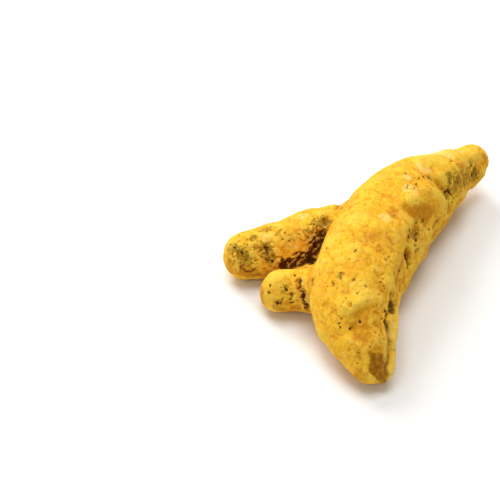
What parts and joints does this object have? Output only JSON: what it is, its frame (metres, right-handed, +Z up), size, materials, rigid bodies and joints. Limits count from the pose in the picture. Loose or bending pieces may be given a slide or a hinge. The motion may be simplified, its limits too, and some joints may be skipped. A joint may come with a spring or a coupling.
{
  "type": "dried turmeric root",
  "caption": "Dried turmeric rhizome lying on a surface: a fat bent body tapering to an arm at each end, with a thick side finger and a small round bud on one flank.",
  "frame": {"origin": "middle of the bounding box's underside, on the surface the root rests on", "axes": "+Z up; +Y along the body from the lower arm's end towards the upper arm; +X to the side of the upper arm's end, away from the side finger and the bud"},
  "size_m": [0.0592, 0.0686, 0.0187],
  "materials": {
    "turmeric_skin": "matt, powdery"
  },
  "bodies": {
    "root": {"turmeric_root": "turmeric_skin"}
  },
  "joints": []
}
